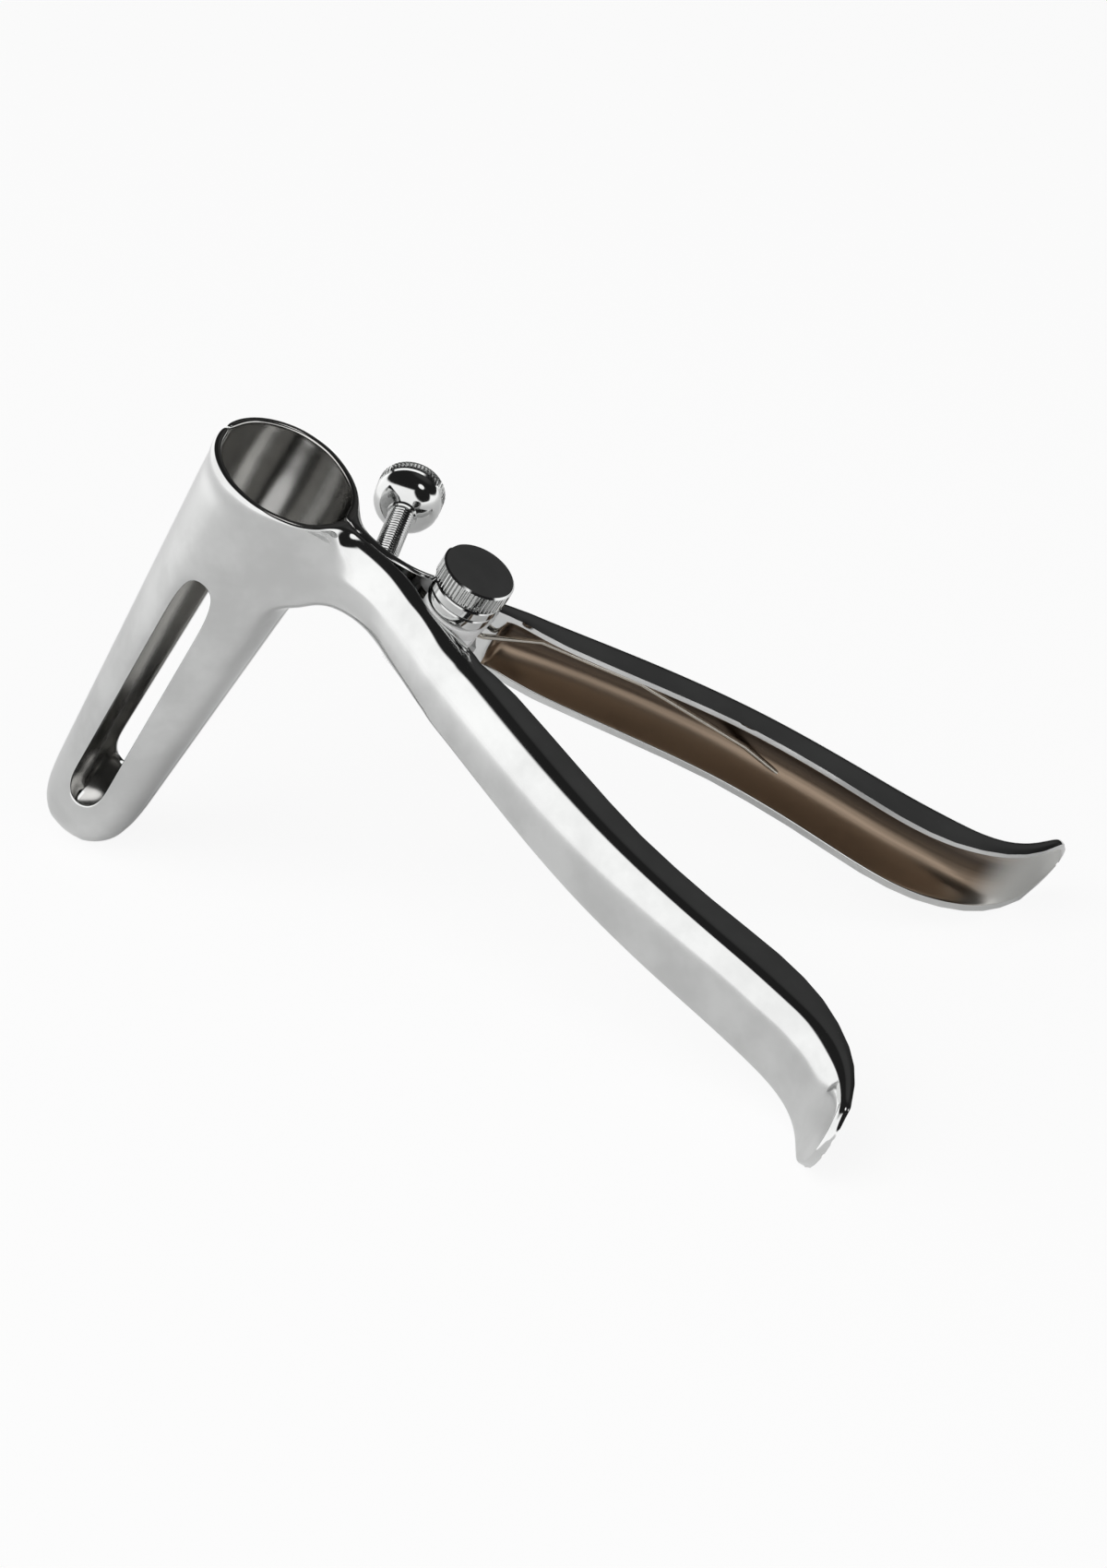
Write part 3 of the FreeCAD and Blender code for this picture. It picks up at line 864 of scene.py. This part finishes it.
def makeSpring():
    size = springSize
    radius, pitch = size["coil"], size["pitch"]
    height = pitch * size["turns"]
    base = size["middle"] - height / 2
    slope = pitch / (math.tau * radius)
    coil = []
    for step in range(int(size["turns"] * turnSteps) + 1):
        turn = math.radians(-90) - math.tau * step / turnSteps
        coil.append(Vector((radius * math.cos(turn), radius * math.sin(turn), base + pitch * step / turnSteps)))
    farLeg = springLeg(far, Vector((0, radius, base + height)), slope)
    nearLeg = springLeg(near, Vector((0, -radius, base)), slope)
    wire("springCoil", coil[:-1] + roundedPath(farLeg, size["bend"]), "far_lever")
    wire("springNearLeg", roundedPath(nearLeg, size["bend"]), "near_lever")


makeSpring()


# Dark and bright patches of the surroundings: where they are, and the cosines at which they fade in
surroundings = {
    "white": 1.45,
    "dark": 0.02,
    "overhead": {"towards": (0.10, 0.45, 0.88), "edge": (0.36, 0.46)},
    "side": {"towards": (0.88, -0.20, 0.42), "edge": (0.84, 0.90)},
    "strip": {"towards": (0.69, 0.05, 0.72), "edge": (0.982, 0.990)},
    "glow": {"towards": (0.19, 0.80, 0.57), "edge": (0.90, 1.0), "level": 0.035},
}
# The camera sees a nearly white floor. Mirrored in the metal, it is grey close by and bright further off.
floorLook = {
    "width": 6.0,
    "level": -0.0002,
    "tone": 0.88,
    "rough": 0.9,
    "seenWhite": 0.9,
    "mirrorEdge": (0.08, 0.80),
    "mirrorGain": 0.88,
    "mirrorLeast": 0.06,
}
lamps = {
    "overhead": {"spot": (-0.3, -0.5, 1.3), "size": 1.2, "power": 9.0},
    "side": {"spot": (0.9, -0.9, 0.7), "size": 0.9, "power": 4.0},
}
lampTarget = Vector((0, 0, 0.03))
# Where the camera is on the instrument's own axes, in millimetres, and how it is turned
view = {
    "spot": (119.807, -724.379, 521.856),
    "right": (0.77957, 0.43148, 0.45397),
    "down": (0.61907, -0.42096, -0.66298),
    "lens": 111.193,
    "sensor": 36.0,
    "clipStart": 0.01,
}
whiteColour = (1, 1, 1, 1)


def seenDirectly(shader):
    camera, glossy, through = [
        shader.node("LightPath", output="Is %s Ray" % kind) for kind in ("Camera", "Glossy", "Transmission")]
    return camera.larger(glossy.larger(through))


def makeStage():
    look = floorLook
    bpy.ops.mesh.primitive_plane_add(size=look["width"], location=(0, 0, look["level"]))
    floor = bpy.context.object
    floor.name = "floor"
    material = bpy.data.materials.new("paleFloor")
    material.use_nodes = True
    shader = Shader(material.node_tree)
    lit = shader.node("BsdfPrincipled", Base_Color=(look["tone"], look["tone"], look["tone"], 1),
                      Roughness=look["rough"])
    white = shader.node("Emission", Color=whiteColour, Strength=1.0)
    bright = shader.node("Emission", Color=whiteColour, Strength=surroundings["white"])
    distance = shader.node("VectorMath", {"operation": "LENGTH"}, output="Value",
                           n0=shader.node("TexCoord", output="Object"))
    mirrorShare = distance.between(*look["mirrorEdge"]) * look["mirrorGain"] + look["mirrorLeast"]
    mirrored = shader.node("MixShader", n0=mirrorShare, n1=lit, n2=bright)
    seen = shader.node("MixShader", n0=look["seenWhite"], n1=lit, n2=white)
    camera = shader.node("LightPath", output="Is Camera Ray")
    direct = shader.node("MixShader", n0=camera, n1=mirrored, n2=seen)
    surface = shader.node("MixShader", n0=seenDirectly(shader), n1=lit, n2=direct)
    shader.node("OutputMaterial", Surface=surface)
    floor.data.materials.append(material)


def makeWorld():
    world = bpy.data.worlds.new("tent")
    bpy.context.scene.world = world
    world.use_nodes = True
    shader = Shader(world.node_tree)
    towards = shader.node("TexCoord", output="Generated")

    def patch(name):
        size = surroundings[name]
        cosine = shader.node("VectorMath", {"operation": "DOT_PRODUCT"}, output="Value", n0=towards,
                             n1=Vector(size["towards"]).normalized())
        return cosine.between(*size["edge"])

    dark = patch("overhead").larger(patch("side"))
    level = surroundings["white"] + dark * (surroundings["dark"] - surroundings["white"])
    level = level + patch("glow") * surroundings["glow"]["level"]
    level = level + patch("strip") * surroundings["white"]
    seen = shader.node("LightPath", output="Is Camera Ray")
    around = shader.node("Background", Strength=level, Color=whiteColour)
    backdrop = shader.node("Background", Strength=1.0, Color=whiteColour)
    mixed = shader.node("MixShader", n0=seen, n1=around, n2=backdrop)
    shader.node("OutputWorld", Surface=mixed)


def makeLamps():
    for name, look in lamps.items():
        bpy.ops.object.light_add(type="AREA", location=look["spot"])
        lamp = bpy.context.object
        lamp.name = name
        lamp.data.size = look["size"]
        lamp.data.energy = look["power"]
        lamp.visible_glossy = False
        lamp.rotation_euler = (Vector(look["spot"]) - lampTarget).to_track_quat("Z", "Y").to_euler()


def makeCamera():
    right, down = Vector(view["right"]).normalized(), Vector(view["down"])
    back = down.cross(right).normalized()
    turn = Matrix((right, back.cross(right), back)).transposed().to_4x4()
    camera = bpy.data.objects.new("camera", bpy.data.cameras.new("camera"))
    bpy.context.scene.collection.objects.link(camera)
    camera.matrix_world = (
        Matrix.Translation(standing @ Vector(view["spot"]))
        @ standing.to_quaternion().to_matrix().to_4x4()
        @ turn
    )
    camera.data.lens = view["lens"]
    camera.data.sensor_width = view["sensor"]
    camera.data.clip_start = view["clipStart"]
    bpy.context.scene.camera = camera


makeStage()
makeWorld()
makeLamps()
makeCamera()
bpy.context.scene.view_settings.view_transform = "Standard"
print("stage, light and camera ready")
